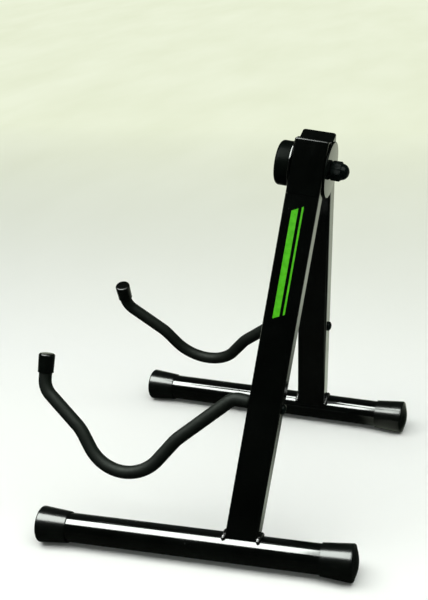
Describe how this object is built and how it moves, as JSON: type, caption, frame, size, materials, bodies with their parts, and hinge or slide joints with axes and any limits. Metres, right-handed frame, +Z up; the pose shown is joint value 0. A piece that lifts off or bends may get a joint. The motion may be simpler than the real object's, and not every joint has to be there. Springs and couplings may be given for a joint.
{
  "type": "guitar stand",
  "caption": "Folding A-frame stand that cradles an electric guitar's body on bent arms and leans its back on a rubber bumper at the hinge.",
  "frame": {"origin": "on the floor, under the middle of the open stand's bounding box", "axes": "+Z up; +Y to the rear, where the legs stand, so a guitar rests on the -Y side; +X to the right leg"},
  "size_m": [0.2966, 0.29, 0.3389],
  "materials": {
    "right_hinge_head": "moulded glass-filled nylon, black, glossy",
    "right_leg_tube": "gloss black powder coat on steel tube",
    "right_base_tube": "gloss black powder coat on steel tube",
    "right_front_weld": "weld bead under the black coat",
    "right_rear_weld": "weld bead under the black coat",
    "right_front_foot": "satin black rubber",
    "right_rear_foot": "satin black rubber",
    "right_arm_rod": "bare steel rod",
    "right_arm_sleeve": "matt black soft tube",
    "right_arm_tip": "satin black rubber",
    "right_arm_screw": "black zinc-plated steel",
    "left_hinge_head": "moulded glass-filled nylon, black, glossy",
    "left_leg_tube": "gloss black powder coat on steel tube",
    "left_base_tube": "gloss black powder coat on steel tube",
    "left_front_weld": "weld bead under the black coat",
    "left_rear_weld": "weld bead under the black coat",
    "left_front_foot": "satin black rubber",
    "left_rear_foot": "satin black rubber",
    "left_arm_rod": "bare steel rod",
    "left_arm_sleeve": "matt black soft tube",
    "left_arm_tip": "satin black rubber",
    "left_arm_screw": "black zinc-plated steel",
    "hinge_bolt": "black zinc-plated steel",
    "hinge_cap_nut": "black zinc-plated steel",
    "front_hinge_disc": "gloss black coat on steel",
    "rear_hinge_disc": "gloss black coat on steel",
    "front_hinge_washer": "natural nylon",
    "rear_hinge_washer": "natural nylon",
    "back_bumper": "satin black rubber"
  },
  "bodies": {
    "right_frame": {"right_hinge_head": "right_hinge_head", "right_leg_tube": "right_leg_tube", "right_base_tube": "right_base_tube", "right_front_weld": "right_front_weld", "right_rear_weld": "right_rear_weld", "right_front_foot": "right_front_foot", "right_rear_foot": "right_rear_foot", "right_arm_rod": "right_arm_rod", "right_arm_sleeve": "right_arm_sleeve", "right_arm_tip": "right_arm_tip", "right_arm_screw": "right_arm_screw", "hinge_bolt": "hinge_bolt", "hinge_cap_nut": "hinge_cap_nut", "front_hinge_disc": "front_hinge_disc", "rear_hinge_disc": "rear_hinge_disc", "front_hinge_washer": "front_hinge_washer", "rear_hinge_washer": "rear_hinge_washer", "back_bumper": "back_bumper"},
    "left_frame": {"left_hinge_head": "left_hinge_head", "left_leg_tube": "left_leg_tube", "left_base_tube": "left_base_tube", "left_front_weld": "left_front_weld", "left_rear_weld": "left_rear_weld", "left_front_foot": "left_front_foot", "left_rear_foot": "left_rear_foot", "left_arm_rod": "left_arm_rod", "left_arm_sleeve": "left_arm_sleeve", "left_arm_tip": "left_arm_tip", "left_arm_screw": "left_arm_screw"}
  },
  "joints": [
    {"name": "leg_fold", "type": "hinge", "parent": "right_frame", "child": "left_frame", "pos_m": [0, 0.08553, 0.31067], "axis": [0, -0.9912, 0.1323], "range_deg": [0, 39.3]}
  ]
}
